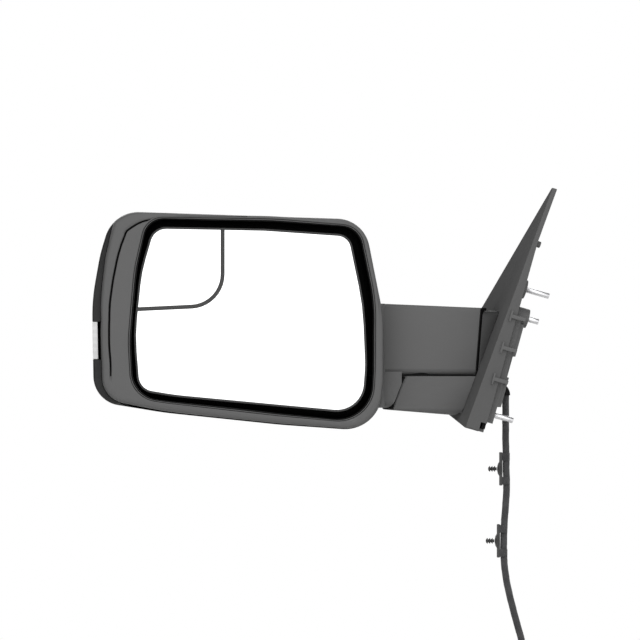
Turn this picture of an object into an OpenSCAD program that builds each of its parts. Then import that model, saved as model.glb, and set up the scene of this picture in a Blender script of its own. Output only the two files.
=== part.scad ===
/* [Head] */
// Depth of the head from the rear lip to the nose
head_depth = 118; // [110:1:130]
// How far the rear lip stands behind the fold axis
lip_back = 66; // [60:1:70]
// Wall of the plastic shells
wall = 3; // [2.5:0.5:3.5]

/* [Glass] */
// How far the glass lies in front of the rear lip
glass_inset = 13; // [11:1:15]
// Thickness of the silvered glass
glass_t = 2.2; // [1.8:0.2:2.6]
// Lever arm of each jack screw about the ball
jack_arm = 26; // [24:1:28]

/* [Arm] */
// Distance of the fold axis outboard of the door origin
pivot_out = 76; // [74:1:78]
// Depth of the arm front to back
arm_depth = 56; // [52:2:58]
// Height of the parting plane of the fold
part_z = -16; // [-18:0.5:-15]
// Radius of the arm's tail about the fold axis, at its foot
tail_r = 63.2; // [60:0.2:64]
// Gap of the fold joint
fold_gap = 2.6; // [1.4:0.2:2.8]

/* [Pivot] */
// Radius of the hollow pivot post
post_r = 11; // [10:0.5:12]
// Radial clearance of the hub on the post
post_fit = 0.05; // [0.02:0.01:0.09]

/* [Door side] */
// Lean of the door face from the vertical
door_tilt = 15.5; // [14:0.5:17]
// Lean of the outer face of the sail
sail_tilt = 19.9; // [19:0.1:21]
// Turn of the door face about the vertical
door_yaw = 9; // [8:0.5:10]
// Radius of the mounting studs
stud_r = 3; // [3:0.5:4]

/* [Harness] */
// Diameter of the taped harness
cord_d = 7.5; // [7:0.5:8]
// Radius of the middle of the coil's turns
coil_r = 42; // [40:1:45]

/* [Hidden] */
$fn = 64;

lip_y = -lip_back;
nose_y = lip_y + head_depth;
seam_y = lip_y + 30;
glass_y = lip_y + glass_inset;
pivot_x = -pivot_out;
half_arm = arm_depth / 2;
arm_end_x = -114.4;
arm_top = 59;
arm_slope = 2.4;
fairing_top = arm_top - 7.5;
cup_r = tail_r + fold_gap;
tail_rise = 0.072;
cup_h = 90;
foot_r = 31;
foot_flare = 0.25;
foot_gap = 1.2;
foot_top = part_z - 0.9;
foot_bottom = -61.2;
foot_slope = 4.7;
liner_back = lip_y + 50;
frame_y = lip_y + 56;
act_y0 = lip_y + 30;
act_y1 = frame_y - 2;
act_r = 44;
ball_y = glass_y + 9;
ball_x = -255;
ball_z = 45;
jack_r = 4;
spring_turns = 5;
spring_r = 16;
spring_wire_r = 1.7;
spring_z = 10.1;
spring_h = 22.5;
detents = 3;
detent_r = 18.2;
detent_ring_r = 21;
base_screw_r = 2.2;
plug_z = -366;
boot_bend = 9.5;
frame_screw_at = [[-25, 25], [25, 25], [-25, -25], [25, -25]];
sail_corner = [-30.5, -75, -70.4];
// Each stud: height of its boss, forward, up, length beyond the boss, radius of the boss
stud_a = [16.8, 20, 81.5, 26, 10];
stud_b = [15, -52, 49, 12, 10];
stud_c = [7, -37, -57, 24, 7.5];
studs = [stud_a, stud_b, stud_c];
plate_t = 7;
// Pads along the rear edge of the bracket: from, to and height
bracket_pads = [[7, 41.5, 11.7], [-17, 8, 9], [-48, -16, 11]];
hole_play = 0.02;
root_r = stud_r - 0.4;
base_screw_at = [[-14, 20], [44, -30], [66, 10]];
snap_at = [44, 10, -24];
snap_t = 1.9;
rim_back = 0.6;
peg_at = [4.4, 22, 208];
lamp_z0 = 1;
lamp_z1 = 40;

// The harness inside the post and the foot
inner_run = [[pivot_x, 0, 44], [pivot_x, 0, 10], [pivot_x, 0, -22], [pivot_x + 3, 0, -30],
             [pivot_x + 10, 0, -34], [pivot_x + 20, 0, -35], [-30, 0, -35], [-20, -4, -34],
             [-12, -14, -31], [-7, -19.4, -28.1], [-1.4, -20, -27.5]];
// The centre line of the harness from the boot to the coil
route = [[13, -20, -37], [13, -20, -50], [13, -20, -62], [13, -21, -74], [13, -21, -86],
         [13.5, -22, -100], [13.5, -22, -114], [14, -22, -130], [13.5, -22, -144],
         [12.5, -22, -158], [11.5, -22, -172], [11, -22, -188], [11, -22, -204],
         [12, -22, -218], [14, -22, -232], [17, -21.5, -246], [20.5, -20, -260],
         [24.5, -18, -275], [29, -16, -291], [32.5, -15, -308], [35, -14.5, -328],
         [36, -14.4, -350]];
// Two turns lie side by side, each a little more than a diameter from the last
coil_pitch = 8.2;
coil_turns = 2;
coil_at = [36 - coil_r, -14.4 - coil_pitch * coil_turns / 2, -350];
coil_half = (coil_pitch * coil_turns + cord_d) / 2;

// Outlines seen from behind, as corners [x, z, radius]
head_corners = [[-398, 155.9, 36], [-135.5, 147.2, 35], [-115, 44, 150], [-115, -21, 80],
                [-120.8, -75, 39], [-223.7, -67.7, 500], [-344.4, -55.1, 400],
                [-418.4, -43, 31], [-420.2, 63, 200], [-411.6, 111.3, 150]];
bezel_corners = [[-387.5, 155, 34], [-135.5, 147.2, 35], [-115, 44, 150], [-115, -21, 80],
                 [-121.3, -74, 38], [-223.7, -66.2, 500], [-344.4, -53.6, 400],
                 [-409, -40.4, 27], [-411.4, 42, 250], [-403.7, 107, 120]];
mouth_corners = [[-363.3, 149.6, 22], [-229, 147.5, 400], [-139.7, 140.2, 24], [-123.4, 63, 200],
                 [-123.9, -10.5, 100], [-127, -67.2, 38], [-228, -57.8, 500], [-339, -45.2, 300],
                 [-379, -39.4, 31], [-382.2, 21, 150], [-376, 94.5, 200]];
glass_corners = [[-356, 139.1, 18], [-239.4, 137, 400], [-150.7, 130.7, 16], [-135.5, 57.8, 250],
                 [-132.8, -5.3, 100], [-136.5, -56.2, 30], [-228, -47.8, 400], [-334, -37.8, 300],
                 [-371.7, -31.5, 18], [-376.4, 26.3, 200], [-369.6, 92.4, 150]];
spotter_corners = [[-283.5, 175, 0], [-283.5, 57.5, 34], [-400, 52, 0], [-400, 175, 0]];
// Outline of the sail in the plane of the door, as corners [forward, up, radius]
sail_corners = [[-73, -79.3, 2.5], [93, -62, 16], [122, 30, 18], [-78, 186, 3], [-84, 187, 2]];

function unit(v) = v / norm(v);
function arc_at(centre, r, s, turn) =
    let (n = max(2, ceil(abs(turn) / 9)))
    [for (i = [0:n]) centre + r * [cos(s + turn * i / n), sin(s + turn * i / n)]];
function corner(a, b, c, r) =
    let (u = unit(a - b), w = unit(c - b), half = acos(u * w) / 2,
         centre = b + unit(u + w) * r / sin(half),
         from = b + u * r / tan(half) - centre, to = b + w * r / tan(half) - centre,
         s = atan2(from[1], from[0]), e = atan2(to[1], to[0]))
    arc_at(centre, r, s, ((e - s + 900) % 360) - 180);
function flat(p) = [p[0], p[1]];
function rounded(list) =
    let (n = len(list))
    [for (i = [0:n - 1])
        let (b = list[i])
        each (b[2] > 0
            ? corner(flat(list[(i + n - 1) % n]), flat(b), flat(list[(i + 1) % n]), b[2])
            : [flat(b)])];

// Frame of one ring of a swept tube: the tangent at point i and two normals
function tangent(p, i) = unit(p[min(i + 1, len(p) - 1)] - p[max(i - 1, 0)]);
function side(t) = unit(cross(t, [0.08, 1, 0.05]));
function ring(p, i, r, sides) =
    let (t = tangent(p, i), u = side(t), w = cross(t, u))
    [for (k = [0:sides - 1]) p[i] + r * (cos(360 * k / sides) * u + sin(360 * k / sides) * w)];
module tube(p, r, sides = 10) {
    n = len(p);
    points = [for (i = [0:n - 1]) each ring(p, i, r, sides)];
    walls = [for (i = [0:n - 2]) for (k = [0:sides - 1])
        [i * sides + k, (i + 1) * sides + k,
         (i + 1) * sides + (k + 1) % sides, i * sides + (k + 1) % sides]];
    start = [for (k = [0:sides - 1]) k];
    finish = [for (k = [sides - 1:-1:0]) (n - 1) * sides + k];
    polyhedron(points, concat(walls, [start, finish]));
}

// An outline seen from behind, drawn out between two depths
module xz(y0, y1) translate([0, y1, 0]) rotate([90, 0, 0]) linear_extrude(y1 - y0) children();
// An outline in the forward and up directions, drawn out inboard
module yz(x0, x1) translate([x0, 0, 0]) rotate([90, 0, 90]) linear_extrude(x1 - x0) children();
module at_door() rotate([0, door_tilt, door_yaw]) children();
module at_sail() translate(sail_corner) rotate([0, sail_tilt, door_yaw]) children();
module at_pivot() translate([pivot_x, 0, 0]) children();
module at_ball() translate([ball_x, ball_y, ball_z]) children();
module along_y(y0, y1, r) translate([0, y0, 0]) rotate([-90, 0, 0]) cylinder(r = r, h = y1 - y0);
module box(a, b) translate(a) cube(b - a);

module head_outline(grow = 0) offset(r = grow) polygon(rounded(head_corners));
module bezel_outline(grow = 0) offset(r = grow) polygon(rounded(bezel_corners));
module mouth(grow = 0) offset(r = grow) polygon(rounded(mouth_corners));
module glass(grow = 0) offset(r = grow) polygon(rounded(glass_corners));
module spotter(grow = 0) offset(r = grow) polygon(rounded(spotter_corners));
module sail_outline(grow = 0) offset(r = grow) polygon(rounded(sail_corners));

// Everything outboard of the sail's outer face, less a gap
module outside_sail(gap = 0) at_sail() box([-400, -300, -300], [-gap, 500, 500]);
module sail_block() {
    intersection() {
        at_door() yz(-60, -rim_back) sail_outline();
        at_sail() box([0, -300, -300], [200, 500, 500]);
    }
    intersection() {
        at_door() yz(-60, 40) sail_outline();
        at_sail() box([0, -300, 155], [5, 500, 500]);
    }
}
module foot_core(gap = 0) box([pivot_x, -17 - gap, -46 - gap], [12, 17 + gap, -24 + gap]);

module sail_cover() {
    color([0.2, 0.2, 0.2]) difference() {
        sail_block();
        difference() {
            intersection() {
                at_door() yz(-60, 5) intersection() {
                    sail_outline(-wall);
                    translate([-300, -300]) square([600, 388]);
                }
                at_sail() box([wall, -300, -300], [200, 500, 500]);
            }
            intersection() {
                at_pivot() translate([0, 0, part_z - wall]) cylinder(r = cup_r + wall, h = 40);
                box([-60, half_arm - 1, -60], [60, 60, 30]);
            }
        }
        intersection() {
            at_pivot() cup(2.4);
            box([-60, -half_arm - 0.4, part_z - 0.3], [60, half_arm + 0.4, arm_top - 5]);
        }
        intersection() {
            at_pivot() cup(0);
            box([-60, 0, part_z - 0.3], [60, 70, arm_top - 5]);
        }
        foot_core(0.5);
        at_sail() translate(peg_at) rotate([0, 90, 0]) cylinder(r = 6.1, h = 5);
        at_door() box([-7, -90, -90], [5, -66, -69]);
    }
}

// A hole square to the door face, at a place forward and up on it
module door_hole(place, r, h) translate([0, place[0], place[1]]) rotate([0, 90, 0]) cylinder(r = r, h = h);
module bracket_boss(s) translate([0, s[1], s[2]]) rotate([0, 90, 0]) cylinder(r = s[4], h = s[0]);
module base_bracket() {
    color([0.36, 0.36, 0.37]) difference() {
        union() {
            at_door() {
                yz(rim_back, plate_t) difference() {
                    sail_outline(-11);
                    translate([-300, 95]) square([600, 200]);
                    translate([-300, 46]) square([280, 200]);
                }
                for (s = studs) bracket_boss(s);
                for (p = bracket_pads) box([rim_back, -62, p[0]], [p[2], -30, p[1]]);
            }
            intersection() {
                foot_core();
                at_door() box([-200, -100, -200], [3, 100, 200]);
            }
            at_pivot() translate([0, 0, -47]) cylinder(r = 24, h = 24);
        }
        at_pivot() translate([0, 0, -60]) cylinder(r = post_r, h = 80);
        at_door() for (s = studs) door_hole([s[1], s[2]], root_r + hole_play, 40);
        at_door() for (p = base_screw_at) door_hole(p, base_screw_r, 12);
        tube(inner_run, 4.4, 8);
        translate([-8, -20, -27.5]) rotate([0, 90, 0]) cylinder(r = 5, h = 30);
    }
}

module door_gasket() {
    color([0.1, 0.1, 0.1]) at_door() yz(-4, 0) difference() {
        intersection() {
            sail_outline(-wall - 0.3);
            translate([-300, -300]) square([600, 383]);
        }
        sail_outline(-wall - 6.5);
        translate([stud_c[1], stud_c[2]]) circle(r = stud_c[4] + 0.3);
        translate([-90, -90]) square([24.3, 21.3]);
    }
}

// The arm's box section, round at its long edges
module arm_section(z0, z1, inset, r) {
    offset(r = r) offset(delta = -r)
        translate([-half_arm + inset, z0 + inset]) square([arm_depth - 2 * inset, z1 - z0 - 2 * inset]);
}
// The solid of revolution about the fold axis that ends the foot
module foot_end(grow) {
    rotate_extrude() polygon([[0, -80], [foot_r + foot_flare * 34 + grow, -80],
                              [foot_r + foot_flare * 34 + grow, -50], [foot_r + grow, part_z],
                              [foot_r + grow, 0], [0, 0]]);
}
module foot_body(inset) {
    intersection() {
        yz(-130, 30) arm_section(-75, foot_top + 20, inset, 9);
        translate([0, 0, foot_bottom + inset]) rotate([0, foot_slope, 0]) box([-200, -60, 0], [100, 60, 90]);
        box([-200, -60, -100], [100, 60, foot_top - inset]);
        at_pivot() union() {
            foot_end(-inset);
            box([0, -60, -90], [120, 60, 0]);
        }
        outside_sail(0.3);
    }
}
module foot_cover() {
    color([0.38, 0.38, 0.38]) difference() {
        foot_body(0);
        difference() {
            foot_body(wall);
            for (y = [-1, 1]) box([-60, y * 22 - 1, -60], [-30, y * 22 + 1, -19.5]);
        }
        at_pivot() translate([0, 0, -25]) cylinder(r = 22, h = 20);
        foot_core(0.5);
    }
}

// The hollow that the arm's tail turns in
module cup(grow, h = cup_h) {
    translate([0, 0, part_z - 1]) cylinder(r1 = cup_r + grow, r2 = cup_r + h * tail_rise + grow, h = h);
}
module base_fairing() {
    color([0.3, 0.3, 0.3]) difference() {
        intersection() {
            yz(-78, 40) arm_section(part_z - 20, fairing_top, 0, 6);
            box([-60, -60, part_z + 0.1], [60, 60, 80]);
            union() {
                outside_sail(0.3);
                at_pivot() cup(2);
            }
        }
        at_pivot() cup(0);
        intersection() {
            yz(-78, 40) arm_section(part_z - 20, fairing_top, wall, 3);
            outside_sail(-20);
            difference() {
                box([-60, -60, part_z + wall], [60, 60, 80]);
                at_pivot() cup(2.4);
            }
        }
    }
}

// How far back the rear edge of the sail is at a height in the plane of the door
function rear_edge(w) = let (a = sail_corners[0], b = sail_corners[4])
    a[0] + (b[0] - a[0]) * (w - a[1]) / (b[1] - a[1]);
module cover_snaps() {
    color([0.4, 0.4, 0.4]) for (w = snap_at) at_door() translate([0, rear_edge(w + 8) - snap_t - 0.2, w]) {
        box([-8, 0, 0], [9, snap_t, 4]);
        box([-8, 0, -4], [-6, snap_t, 8]);
        box([plate_t + 0.2, 0, 0], [9, 15, 4]);
    }
}

module mounting_studs() {
    color([0.75, 0.75, 0.76]) at_door() for (s = studs) translate([0, s[1], s[2]]) rotate([0, 90, 0]) {
        translate([0, 0, 2]) cylinder(r = root_r, h = s[0] - 2);
        translate([0, 0, s[0]]) cylinder(r = stud_r, h = s[3]);
    }
}

module locating_peg() {
    color([0.35, 0.35, 0.35]) at_sail() translate(peg_at) rotate([0, 90, 0]) {
        cylinder(r = 6, h = 2.2);
        translate([0, 0, 2.2]) cylinder(r = 3.4, h = 7.4);
    }
}

module screw(head_r, shank_r, length) {
    difference() {
        cylinder(r = head_r, h = 3);
        translate([0, 0, 1.2]) cylinder(r = 2, h = 5, $fn = 6);
    }
    translate([0, 0, -length]) cylinder(r = shank_r, h = length + 0.5);
}
module base_screws() {
    color([0.5, 0.5, 0.5]) at_door() for (p = base_screw_at)
        translate([plate_t, p[0], p[1]]) rotate([0, 90, 0]) screw(5, 2, 6);
}

module pivot_post() {
    color([0.7, 0.7, 0.7]) at_pivot() difference() {
        union() {
            translate([0, 0, -47]) cylinder(r = post_r, h = 89);
            translate([0, 0, -50]) cylinder(r = post_r + 5, h = 3);
        }
        translate([0, 0, -60]) cylinder(r = post_r - 3.5, h = 120);
        translate([0, 0, -34]) rotate([0, 90, 0]) cylinder(r = 6, h = 30);
    }
}

module detent_ring(z, h) at_pivot() translate([0, 0, z]) difference() {
    cylinder(r = detent_ring_r, h = h);
    translate([0, 0, -1]) cylinder(r = post_r + 1, h = h + 2);
}
// A ball at each detent, all at one height
module detent_balls(z, r) at_pivot() for (i = [0:detents - 1]) rotate([0, 0, 360 / detents * i])
    translate([detent_r, 0, z]) sphere(r = r);
module lower_detent_ring() {
    color([0.55, 0.55, 0.56]) difference() {
        detent_ring(-23, 6);
        at_pivot() translate([0, 0, -18.8]) rotate_extrude() translate([detent_r - 1.7, 0]) square([3.4, 4]);
        detent_balls(-18.3, 2.2);
    }
}
module upper_detent_ring() {
    color([0.6, 0.6, 0.61]) union() {
        detent_ring(-16.8, 2.8);
        detent_balls(-16.9, 1.5);
    }
}

module fold_spring() {
    steps = 12 * spring_turns;
    color([0.45, 0.45, 0.47]) at_pivot()
        tube([for (i = [0:steps]) [spring_r * cos(30 * i), spring_r * sin(30 * i),
                                   spring_z + spring_h * i / steps]], spring_wire_r, 8);
}
module spring_seat() {
    color([0.65, 0.65, 0.66]) at_pivot() difference() {
        translate([0, 0, 34.5]) cylinder(r = 20, h = 2.5);
        cylinder(r = post_r + 0.2, h = 60);
    }
}
module post_nut() {
    color([0.7, 0.7, 0.71]) at_pivot() difference() {
        translate([0, 0, 37]) cylinder(r = 16, h = 4, $fn = 6);
        cylinder(r = post_r + hole_play, h = 60);
    }
}

module base_harness() {
    color([0.07, 0.07, 0.07]) tube(inner_run, 3.6, 10);
}

module harness_boot() {
    color([0.06, 0.06, 0.06]) translate([13 - boot_bend, -20, -37]) {
        rotate([90, 0, 0]) rotate_extrude(angle = 90) translate([boot_bend, 0]) circle(r = 4.8);
        translate([-4, 0, boot_bend]) rotate([0, 90, 0]) cylinder(r = 4.8, h = 4);
        translate([-0.65, 0, boot_bend]) rotate([0, 90 + door_tilt, door_yaw]) cylinder(r = 8, h = 2);
    }
}
module harness_cable() color([0.06, 0.06, 0.06]) tube(route, cord_d / 2, 10);
module coil_ring() rotate_extrude() translate([coil_r, 0]) offset(r = 2.5)
    square([cord_d - 5, 2 * coil_half - 5], center = true);
module harness_coil() color([0.06, 0.06, 0.06]) translate(coil_at) rotate([90, 0, 0]) coil_ring();
module coil_tie() {
    color([0.15, 0.15, 0.15]) translate(coil_at) translate([0, 0, -coil_r]) difference() {
        box([-2.2, -coil_half - 1.5, -5.4], [2.2, coil_half + 1.5, 5.4]);
        box([-9, -coil_half - 0.1, -4.1], [9, coil_half + 0.1, 4.1]);
    }
}
// A fir tree clip on its strip; it points outboard
module fir_clip(at) translate(at) {
    box([-3.6, -4, -17.5], [0, 4, 17.5]);
    translate([-3.4, 0, 0]) rotate([0, -90, 0]) cylinder(r1 = 8, r2 = 4.5, h = 2.4);
    translate([-5, 0, 0]) rotate([0, -90, 0]) cylinder(r = 1.6, h = 10);
    for (i = [0:2]) translate([-7.5 - 2.6 * i, 0, 0]) rotate([0, -90, 0]) cylinder(r1 = 3.2, r2 = 1.8, h = 1.8);
}
module upper_harness_clip() color([0.12, 0.12, 0.12]) fir_clip([9.6, -22, -114]);
module lower_harness_clip() color([0.12, 0.12, 0.12]) fir_clip([7.1, -22, -189.5]);
module harness_connector() {
    plug_y = route[len(route) - 1][1] - coil_pitch * coil_turns;
    color([0.13, 0.13, 0.13]) translate([coil_at[0] + coil_r, plug_y, plug_z]) difference() {
        union() {
            box([-9, -7, -44], [9, 7, -8]);
            translate([0, 0, -8]) cylinder(r = 5.5, h = 8);
            cylinder(r1 = 5.5, r2 = 4.2, h = 14);
            box([-4, -10, -30], [4, -6.5, -12]);
        }
        box([-7, -5, -46], [7, 5, -28]);
    }
}

module head_frame() {
    color([0.4, 0.4, 0.41]) difference() {
        union() {
            xz(frame_y, frame_y + 4) difference() {
                mouth(-24);
                for (p = [[-338, 92, 32, 28], [-200, 88, 34, 28], [-200, -26, 34, 20], [-338, -10, 32, 30]])
                    translate([p[0], p[1]]) square([p[2], p[3]]);
            }
            box([-160, frame_y, -6], [-119, 21, 30]);
            box([-121, -21, -6], [-96, 21, 30]);
            box([-98, -20, -12], [pivot_x, 20, 8]);
            at_pivot() translate([0, 0, -14]) cylinder(r = 24, h = 22);
        }
        box([-158, frame_y + 4, 0], [-100, 16, 24]);
        at_pivot() translate([0, 0, -30]) cylinder(r = post_r + post_fit, h = 60);
        at_pivot() translate([0, 0, 8.2]) cylinder(r = 22.5, h = 60);
        translate([ball_x, 0, ball_z]) along_y(frame_y - 1, frame_y + 5, 9);
        for (p = frame_screw_at) translate([ball_x + p[0], 0, ball_z + p[1]])
            along_y(frame_y - 1, frame_y + 5, 2);
    }
}

// The arm's tail and its neck, cut to the fold joint
module arm_body(inset) {
    intersection() {
        yz(arm_end_x, 0) arm_section(part_z, arm_top + 20, inset, 8);
        translate([arm_end_x, 0, arm_top - inset]) rotate([0, arm_slope, 0])
            box([-30, -60, -100], [200, 60, 0]);
        at_pivot() union() {
            translate([0, 0, part_z])
                cylinder(r1 = tail_r - inset, r2 = tail_r + cup_h * tail_rise - inset, h = cup_h);
            box([-60, -60, -60], [0, 60, 90]);
        }
    }
}
module neck() intersection() {
    difference() {
        box([arm_end_x, -half_arm, -50], [pivot_x - 20, half_arm, part_z + 4]);
        at_pivot() foot_end(foot_gap);
    }
    yz(-130, 30) arm_section(-50, 30, 0, 8);
}
module arm_cover() {
    color([0.39, 0.39, 0.39]) difference() {
        union() {
            arm_body(0);
            neck();
        }
        arm_body(wall);
        at_pivot() translate([0, 0, -30]) cylinder(r = 26, h = 40);
    }
}

module bezel() {
    color([0.39, 0.39, 0.39]) difference() {
        hull() {
            xz(lip_y, lip_y + 0.2) bezel_outline(-8);
            xz(lip_y + 2.5, lip_y + 2.7) bezel_outline(-3.6);
            xz(lip_y + 7, lip_y + 7.2) bezel_outline(-1);
            xz(lip_y + 14, seam_y) bezel_outline();
        }
        xz(lip_y - 1, seam_y + 1) mouth();
        xz(lip_y + 9, seam_y + 1) difference() {
            bezel_outline(-wall - 1);
            mouth(wall);
        }
    }
}

module liner() {
    color([0.02, 0.02, 0.02]) difference() {
        xz(lip_y + 1.5, liner_back + 2.5) mouth(-0.2);
        xz(lip_y - 1, liner_back) mouth(-2.6);
        translate([ball_x, 0, ball_z]) along_y(liner_back - 2, liner_back + 5, act_r + 6);
    }
}

module cap_shape(inset, start) hull() {
    xz(start, 12) head_outline(-inset);
    xz(26, 26.4) head_outline(-6 - inset);
    xz(nose_y - 14, nose_y - 13.6) head_outline(-17 - inset);
    xz(nose_y - 5 - inset, nose_y - 4.6 - inset) head_outline(-32 - inset);
    xz(nose_y - 0.5 - inset, nose_y - inset) head_outline(-52 - inset);
}
module lamp_zone(grow) box([-440, -60 - grow, lamp_z0 - grow], [-404, -20 + grow, lamp_z1 + grow]);
module lamp_shell() difference() {
    head_outline();
    head_outline(-5.5);
}
module cap_wing() xz(lip_y + 12, seam_y + 2) difference() {
    intersection() {
        head_outline(-0.1);
        translate([-440, -80]) square([55, 260]);
    }
    bezel_outline(0.5);
}
module front_cap() {
    color([0.15, 0.15, 0.15]) difference() {
        union() {
            difference() {
                cap_shape(0, seam_y + 0.4);
                cap_shape(wall, seam_y - 2);
            }
            cap_wing();
        }
        lamp_zone(0.4);
        box([-125, -24, -10], [-105, 24, 48]);
    }
}

module signal_lens() {
    color([0.85, 0.85, 0.85]) difference() {
        intersection() {
            xz(lip_y + 12, -20) lamp_shell();
            lamp_zone(0);
        }
        xz(lip_y, seam_y + 0.5) bezel_outline(0.5);
    }
}
module signal_housing() {
    color([0.3, 0.3, 0.3]) difference() {
        box([-412, seam_y + 2, 3], [-398, -6, 38]);
        box([-413, seam_y + 4, 5], [-401, -8, 36]);
    }
}
module signal_board() {
    color([0.1, 0.35, 0.15]) {
        box([-402.6, seam_y + 4.2, 6], [-401.2, -8.2, 35]);
        for (z = [11:9:29]) box([-405, -24, z], [-402.6, -20, z + 4]);
    }
}

module actuator_body() {
    color([0.16, 0.16, 0.16]) difference() {
        translate([ball_x, 0, ball_z]) along_y(act_y0, act_y0 + 13, act_r);
        translate([ball_x, 0, ball_z]) along_y(act_y0 + 2.5, act_y0 + 15, act_r - 2.5);
        translate([ball_x, 0, ball_z]) along_y(act_y0 - 1, act_y0 + 5, 11);
        for (p = [[0, -jack_arm], [jack_arm, 0]]) translate([ball_x + p[0], 0, ball_z + p[1]])
            along_y(act_y0 - 1, act_y0 + 5, jack_r + 1.2);
    }
}
module actuator_cover() {
    color([0.18, 0.18, 0.18]) difference() {
        translate([ball_x, 0, ball_z]) along_y(act_y0 + 13.2, act_y1, act_r);
        translate([ball_x, 0, ball_z]) along_y(act_y0 + 13, act_y1 - 2.5, act_r - 2.5);
        translate([ball_x, 0, ball_z]) along_y(act_y1 - 4, act_y1 + 1, 7.2);
        for (p = frame_screw_at) translate([ball_x + p[0], 0, ball_z + p[1]])
            along_y(act_y1 - 4, act_y1 + 1, 1.9);
    }
}
module motor(length) {
    cylinder(r = 8.5, h = length);
    translate([0, 0, length]) cylinder(r = 1.2, h = 7);
}
module tilt_motor() color([0.6, 0.6, 0.62]) translate([ball_x - 22, act_y0 + 12, ball_z + 6]) motor(20);
module pan_motor() color([0.6, 0.6, 0.62]) translate([ball_x - 6, act_y0 + 12, ball_z + 22])
    rotate([0, 90, 0]) motor(16);
// The stud whose round end carries the glass; its face is cut flat behind the heater
module ball_stud() {
    color([0.5, 0.5, 0.5]) at_ball() {
        rotate([-90, 0, 0]) rotate_extrude() intersection() {
            circle(r = 7);
            translate([0, -4.2]) square([8, 12]);
        }
        along_y(3, act_y1 - ball_y + 5, 4.6);
        along_y(act_y0 - ball_y + 3, act_y0 - ball_y + 6, 12);
    }
}
module head_harness() {
    color([0.07, 0.07, 0.07]) tube([[-94, 4, 46], [-104, 4, 43], [-116, 5, 40], [-130, 8, 42],
        [-150, 10, 50], [-180, 10, 62], [-210, 8, 66], [-236, 3, 64], [-252, 0, 62], [-266, -1, 62]], 2.6, 10);
}
module frame_screws() {
    color([0.6, 0.6, 0.6]) for (p = frame_screw_at)
        translate([ball_x + p[0], frame_y + 4, ball_z + p[1]]) rotate([-90, 0, 0]) screw(4.5, 1.8, 8);
}

module nut_gear(p) translate([ball_x + p[0], 0, ball_z + p[1]]) difference() {
    union() {
        along_y(act_y0 + 5, act_y0 + 11, 9);
        for (i = [0:17]) rotate([0, 20 * i, 0]) box([8.6, act_y0 + 5, -0.7], [10.2, act_y0 + 11, 0.7]);
    }
    along_y(act_y0 + 2, act_y0 + 15, jack_r + 0.25);
}
module jack_screw(p) translate([ball_x + p[0], 0, ball_z + p[1]]) {
    along_y(ball_y + 2, act_y0 + 16, jack_r);
    translate([0, ball_y, 0]) sphere(r = 4.6);
}
module tilt_nut_gear() color([0.85, 0.85, 0.8]) nut_gear([0, -jack_arm]);
module pan_nut_gear() color([0.85, 0.85, 0.8]) nut_gear([jack_arm, 0]);
module tilt_jack_screw() color([0.8, 0.8, 0.76]) jack_screw([0, -jack_arm]);
module pan_jack_screw() color([0.8, 0.8, 0.76]) jack_screw([jack_arm, 0]);

// The ring between the ball and the glass; it turns about the upright axis
module gimbal_ring() {
    color([0.75, 0.75, 0.72]) at_ball() rotate([-90, 0, 0]) rotate_extrude() intersection() {
        difference() {
            circle(r = 11.6);
            circle(r = 7.06);
        }
        union() {
            translate([0, -4]) square([20, 4]);
            translate([7.06, -4]) square([20, 8]);
        }
    }
}
module glass_carrier() {
    color([0.12, 0.12, 0.12]) difference() {
        union() {
            xz(glass_y + glass_t + 1.4, glass_y + glass_t + 3.6) glass(-1.2);
            at_ball() along_y(-5, 3.5, 15);
            for (p = [[0, -jack_arm], [jack_arm, 0]]) translate([ball_x + p[0], ball_y, ball_z + p[1]])
                along_y(-5, 2, 8);
        }
        at_ball() sphere(r = 11.66);
        at_ball() along_y(0, 20, 11.9);
        for (p = [[0, -jack_arm], [jack_arm, 0]]) translate([ball_x + p[0], ball_y, ball_z + p[1]]) {
            sphere(r = 5.6);
            along_y(0, 20, 5.6);
        }
    }
}
module heater_pad() color([0.55, 0.5, 0.3]) xz(glass_y + glass_t + 0.2, glass_y + glass_t + 1.2) glass(-5);
module glass_rim() {
    color([0.1, 0.1, 0.1]) {
        xz(glass_y - 0.8, glass_y + glass_t + 3.6) difference() {
            glass(0.6);
            glass(-1);
        }
        xz(glass_y - 0.8, glass_y + glass_t) intersection() {
            difference() {
                spotter(1.5);
                spotter(-1.5);
            }
            glass(-1);
        }
    }
}
module main_glass() {
    color([0.92, 0.92, 0.94]) xz(glass_y, glass_y + glass_t) difference() {
        glass(-1.2);
        spotter(1.7);
    }
}
module spotter_glass() {
    color([0.92, 0.92, 0.94]) xz(glass_y, glass_y + glass_t) intersection() {
        glass(-1.2);
        spotter(-1.7);
    }
}

sail_cover();
base_bracket();
door_gasket();
foot_cover();
base_fairing();
cover_snaps();
mounting_studs();
locating_peg();
base_screws();
pivot_post();
lower_detent_ring();
fold_spring();
spring_seat();
post_nut();
base_harness();
harness_boot();
harness_cable();
harness_coil();
coil_tie();
upper_harness_clip();
lower_harness_clip();
harness_connector();
head_frame();
arm_cover();
upper_detent_ring();
bezel();
liner();
front_cap();
signal_lens();
signal_housing();
signal_board();
actuator_body();
actuator_cover();
tilt_motor();
pan_motor();
ball_stud();
head_harness();
frame_screws();
tilt_nut_gear();
pan_nut_gear();
tilt_jack_screw();
pan_jack_screw();
gimbal_ring();
glass_carrier();
heater_pad();
glass_rim();
main_glass();
spotter_glass();
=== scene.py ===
import math

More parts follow.
